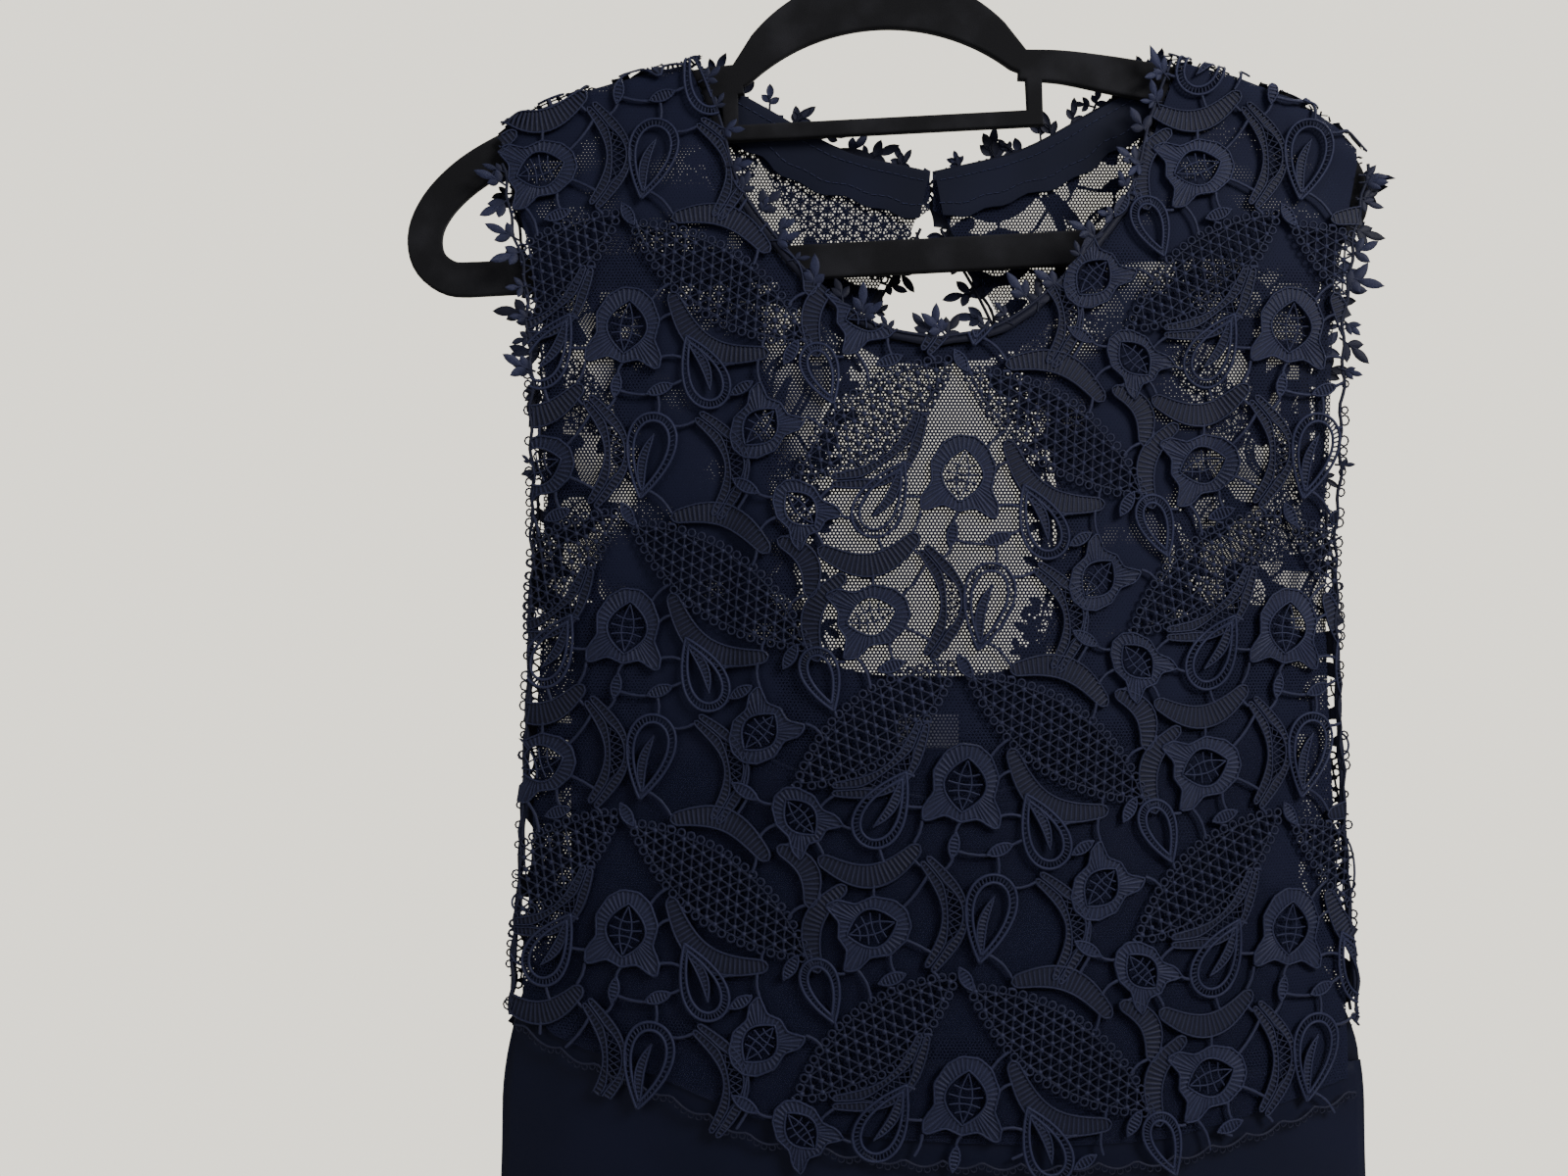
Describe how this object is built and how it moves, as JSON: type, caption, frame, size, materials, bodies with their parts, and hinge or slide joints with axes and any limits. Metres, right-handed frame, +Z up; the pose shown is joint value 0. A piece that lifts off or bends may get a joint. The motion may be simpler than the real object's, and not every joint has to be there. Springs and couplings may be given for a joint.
{
  "type": "evening gown on a hanger",
  "caption": "Sleeveless floor-length evening gown hanging on a slim hanger: openwork lace bodice over net and lining, back keyhole, plain straight skirt",
  "frame": {"origin": "hanging point: the inside of the top of the hanger's hook, where the rail carries it", "axes": "+Z up, +X to the right as seen from the front, the gown's front faces -Y"},
  "size_m": [0.5786, 0.1237, 1.5836],
  "materials": {
    "navy_lace": "satin thread lace, soft sheen",
    "navy_net": "fine hexagonal net, matt",
    "navy_lining": "plain woven lining, matt",
    "navy_crepe": "smooth crepe, slight sheen",
    "black_flock": "flocked, velvety",
    "hook_steel": "polished",
    "label_white": "woven, blank"
  },
  "bodies": {
    "root": {"hanger_body": "black_flock", "hanger_hook": "hook_steel", "lace_front": "navy_lace", "lace_back": "navy_lace", "net_front": "navy_net", "net_back": "navy_net", "lining_front": "navy_lining", "lining_back": "navy_lining", "neck_facing_front": "navy_lining", "neck_facing_back_left": "navy_lining", "neck_facing_back_right": "navy_lining", "armhole_binding_front_left": "navy_lining", "armhole_binding_front_right": "navy_lining", "armhole_binding_back_left": "navy_lining", "armhole_binding_back_right": "navy_lining", "skirt_front": "navy_crepe", "skirt_back": "navy_crepe", "label": "label_white", "nape_button": "navy_lining", "nape_loop": "navy_lining"}
  },
  "joints": []
}
